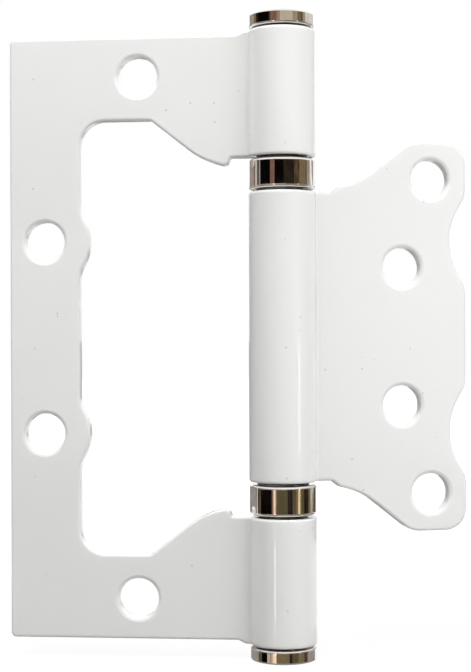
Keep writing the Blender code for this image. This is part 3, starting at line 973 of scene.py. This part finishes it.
cameraLook = {
    "place": Vector((0.0544, -0.2444, -0.00106)),
    "turn": (0.094, 0.005, 0.004),  # yaw, pitch and roll
    "focus": 1490.5,  # in pixels of the photograph's frame
    "longSide": 672,
    "sensor": 36.0,  # in millimetres
    "clip": (0.01, 20.0),
}


def glowMaterial(name, tones):
    # level patches between two tones, as of a room out of focus
    made = bpy.data.materials.new(name)
    made.use_nodes = True
    tree = made.node_tree
    tree.nodes.clear()
    place = addNode(tree, "ShaderNodeTexCoord").outputs["Object"]
    squeezed = addNode(tree, "ShaderNodeMapping", {
        "Vector": place, "Scale": (1.0, 1.0, cards["patchFlatness"])})
    patch = groupNode(tree, mottle, {"Vector": squeezed.outputs["Vector"], "Size": cards["patchSize"]})
    colour = blendColours(tree, patch, (*tones[0], 1.0), (*tones[1], 1.0))
    glow = addNode(tree, "ShaderNodeEmission", {"Color": colour})
    addNode(tree, "ShaderNodeOutputMaterial", {"Surface": glow.outputs["Emission"]})
    return made


def placeCard(name, points, faces, finish):
    # only gloss and plating see it
    mesh = bpy.data.meshes.new(name)
    mesh.from_pydata(points, [], faces)
    mesh.materials.append(finish)
    card = addObject(name, mesh)
    card.visible_camera = False
    card.visible_diffuse = False
    card.visible_shadow = False
    card.visible_transmission = False


def makeCards():
    towardsCamera = cameraLook["place"] - pinPlace
    ahead = math.atan2(towardsCamera.y, towardsCamera.x)
    finishes = {name: glowMaterial(name + "Card", tones) for name, tones in cardColours.items()}
    for row, (low, high, rowCards) in cards["rows"].items():
        start = cards["firstEdge"]
        for count, (end, colour) in enumerate(rowCards):
            angles = (ahead + math.radians(start), ahead + math.radians(end))
            bend = arcPoints(pinPlace[:2], cards["radius"], *angles, cards["step"])
            total = len(bend)
            faces = [(i, i + 1, total + i + 1, total + i) for i in range(total - 1)]
            placeCard(f"{row}Card{count + 1:02d}", [(x, y, z) for z in (low, high) for x, y in bend],
                      faces, finishes[colour])
            start = end
    ground = cards["rows"]["bottomCap"][0]
    rim = arcPoints(pinPlace[:2], cards["radius"], 0.0, 2 * math.pi, cards["groundStep"])[:-1]
    placeCard("groundCard", [(x, y, ground) for x, y in rim], [tuple(range(len(rim)))],
              finishes[cards["ground"]])


lamps = {
    "above": {"place": (0.04, -0.15, 0.30), "size": 0.2, "power": 0.565, "colour": (1.0, 1.0, 1.0)},
    "highLeft": {"place": (-0.12, -0.12, 0.30), "size": 0.2, "power": 0.730, "colour": (1.0, 1.0, 1.0)},
    "right": {"place": (0.25, -0.20, -0.02), "size": 0.2, "power": 0.415, "colour": (1.0, 1.0, 1.0)},
    "farRight": {"place": (0.30, -0.08, 0.10), "size": 0.2, "power": 0.268, "colour": (1.0, 1.0, 1.0)},
    "behind": {"place": (0.02, 0.36, 0.24), "size": 0.3, "power": 1.2, "colour": (1.0, 1.0, 1.0)},
}


def makeLamps():
    for name, look in lamps.items():
        light = bpy.data.lights.new(name, "AREA")
        light.shape = "DISK"
        light.size = look["size"]
        light.energy = look["power"]
        light.color = look["colour"]
        lamp = addObject(name, light)
        lamp.location = look["place"]
        aim = pinPlace - lamp.location
        lamp.rotation_euler = aim.to_track_quat("-Z", "Y").to_euler()
        lamp.visible_glossy = False
        lamp.visible_camera = False


def makeCamera():
    yaw, pitch, roll = cameraLook["turn"]
    turn = (Matrix.Rotation(yaw, 4, "Z") @ Matrix.Rotation(pitch, 4, "X") @ Matrix.Rotation(roll, 4, "Y")
            @ Matrix.Rotation(math.pi / 2, 4, "X"))
    data = bpy.data.cameras.new("camera")
    data.sensor_width = cameraLook["sensor"]
    data.lens = cameraLook["focus"] / cameraLook["longSide"] * data.sensor_width
    data.clip_start, data.clip_end = cameraLook["clip"]
    camera = addObject("camera", data)
    camera.matrix_world = Matrix.Translation(cameraLook["place"]) @ turn
    bpy.context.scene.camera = camera


makeWorld()
makeFloor()
makeCards()
makeLamps()
makeCamera()
bpy.context.scene.view_settings.view_transform = "Standard"
print("studio lit")
